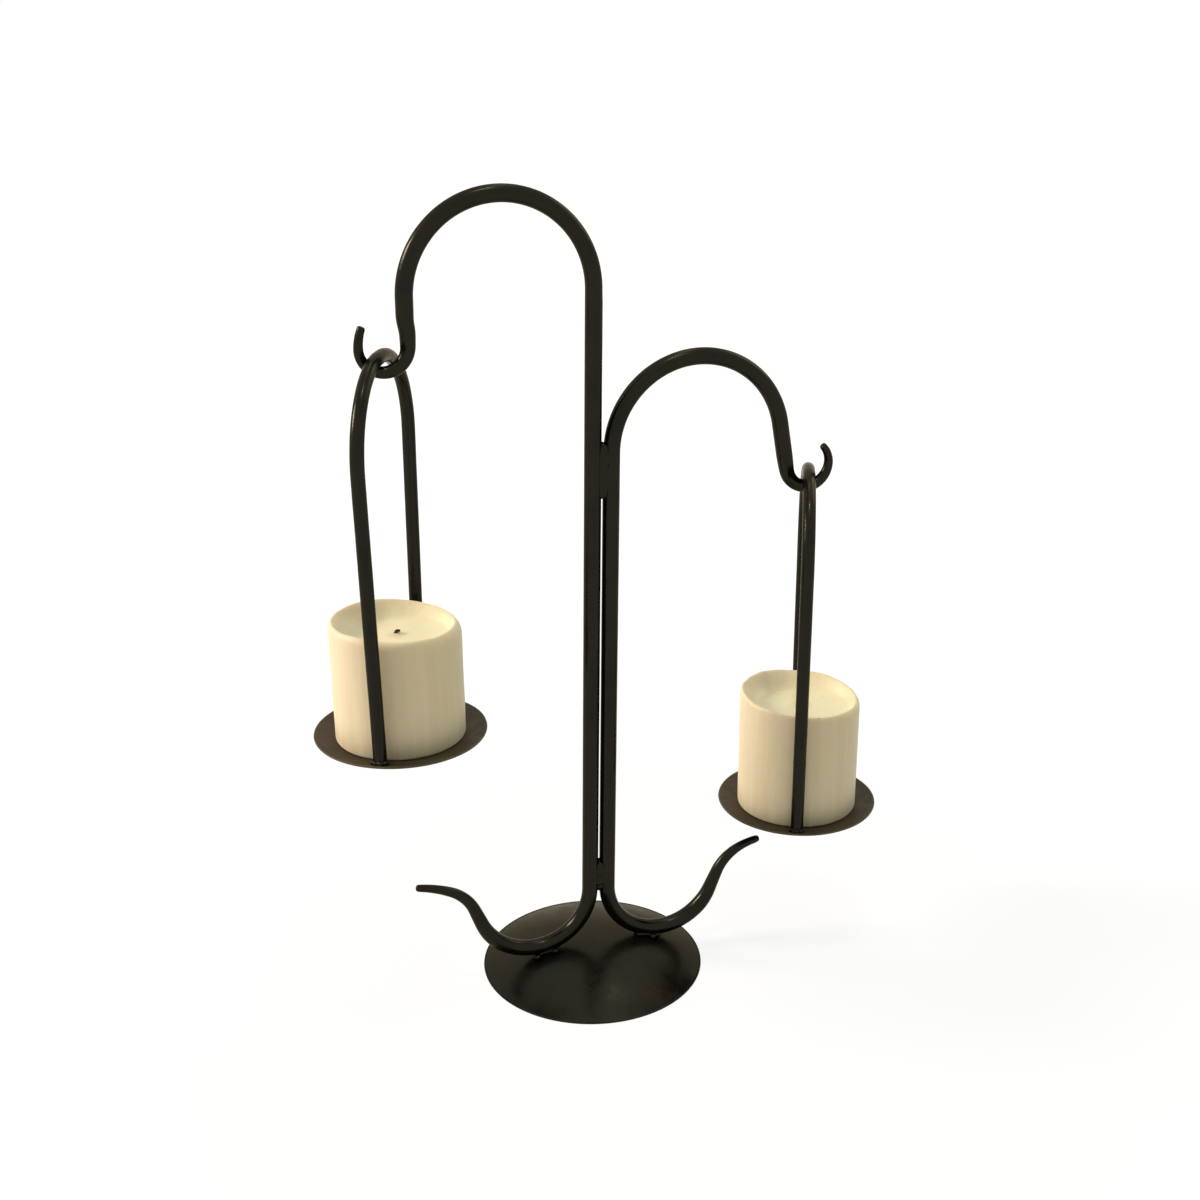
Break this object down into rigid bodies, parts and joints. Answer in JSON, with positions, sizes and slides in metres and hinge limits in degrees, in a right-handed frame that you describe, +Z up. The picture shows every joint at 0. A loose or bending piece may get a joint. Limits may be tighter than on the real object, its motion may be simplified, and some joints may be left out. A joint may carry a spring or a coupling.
{
  "type": "candle stand",
  "caption": "Tabletop candle stand with two welded bent-rod arms on a domed base, each with a hook from which a bail and pan with a pillar candle hang.",
  "frame": {"origin": "centre of the base's rim, on the surface that the stand rests on", "axes": "+Z up, X in the plane of the two bent arms with the tall arm towards -X, +Y to the rear"},
  "size_m": [0.352, 0.138, 0.4818],
  "materials": {
    "iron": "satin black-brown hand-finished wrought iron",
    "weld": "rough, painted over with the iron",
    "dome": "satin black-brown paint with a little more gloss",
    "pan": "matt rust-brown paint",
    "wax": "ivory wax, softly translucent",
    "wick": "burnt cotton"
  },
  "bodies": {
    "stand": {"base_dome": "dome", "tall_crook": "iron", "short_crook": "iron", "upper_stem_weld": "weld", "lower_stem_weld": "weld", "left_tail_weld": "weld", "right_tail_weld": "weld"},
    "left_hanger": {"left_bail": "iron", "left_pan": "pan", "left_front_weld": "weld", "left_rear_weld": "weld"},
    "right_hanger": {"right_bail": "iron", "right_pan": "pan", "right_front_weld": "weld", "right_rear_weld": "weld"},
    "left_pillar": {"left_candle": "wax", "left_wick": "wick"},
    "right_pillar": {"right_candle": "wax", "right_wick": "wick"}
  },
  "joints": [
    {"name": "left_swing", "type": "hinge", "parent": "stand", "child": "left_hanger", "pos_m": [-0.11379, 0, 0.39533], "axis": [0.4384, 0.8988, 0], "range_deg": [-21, 40]},
    {"name": "right_swing", "type": "hinge", "parent": "stand", "child": "right_hanger", "pos_m": [0.13822, 0, 0.30808], "axis": [-0.4067, -0.9135, 0], "range_deg": [-25, 40]},
    {"name": "left_candle_lift", "type": "slide", "parent": "left_hanger", "child": "left_pillar", "axis": [0, 0, 1], "range_m": [0, 0.1]},
    {"name": "right_candle_lift", "type": "slide", "parent": "right_hanger", "child": "right_pillar", "axis": [0, 0, 1], "range_m": [0, 0.1]}
  ]
}
